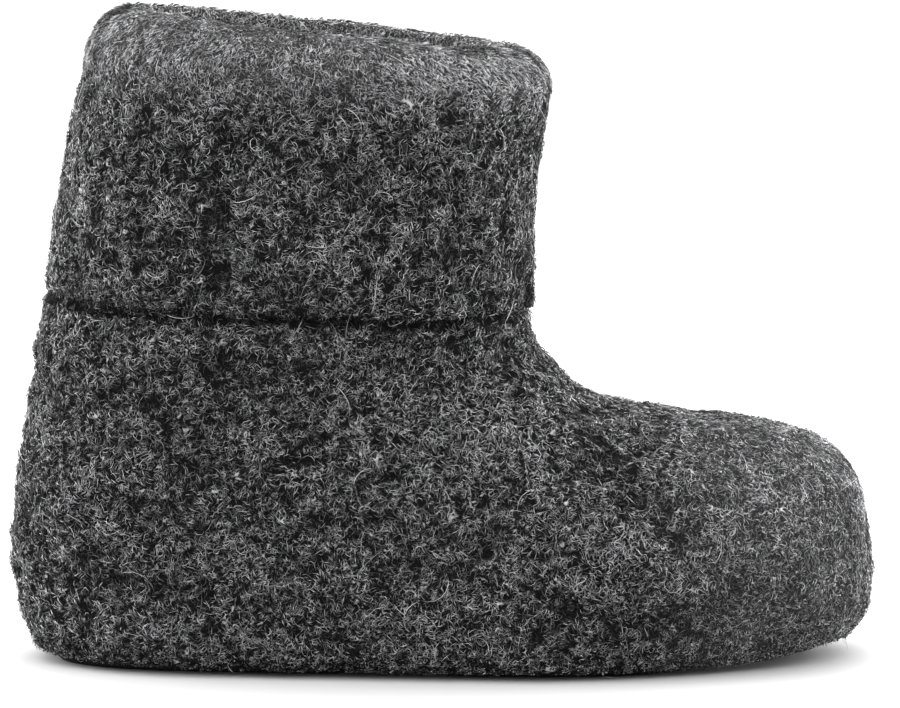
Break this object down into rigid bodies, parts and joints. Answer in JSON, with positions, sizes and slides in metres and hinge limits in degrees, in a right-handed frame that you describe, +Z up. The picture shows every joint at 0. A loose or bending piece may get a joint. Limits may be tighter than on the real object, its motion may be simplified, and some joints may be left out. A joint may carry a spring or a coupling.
{
  "type": "boot slipper",
  "caption": "Right wool boot slipper with a short shaft and a thick cuff rolled over the collar and turned down, on a soft flat sole.",
  "frame": {"origin": "middle of the footprint on the floor", "axes": "+X towards the toe, +Y towards the inner side of the foot, +Z up"},
  "size_m": [0.2877, 0.1108, 0.2174],
  "materials": {
    "felt_sole": "dense dark wool felt",
    "wool_footbed": "grey wool pile footbed",
    "wool_pile": "charcoal curled wool pile",
    "wool_cuff": "charcoal curled wool pile, turned out"
  },
  "bodies": {
    "root": {"outsole": "felt_sole", "insole": "wool_footbed", "upper": "wool_pile", "cuff": "wool_cuff"}
  },
  "joints": []
}
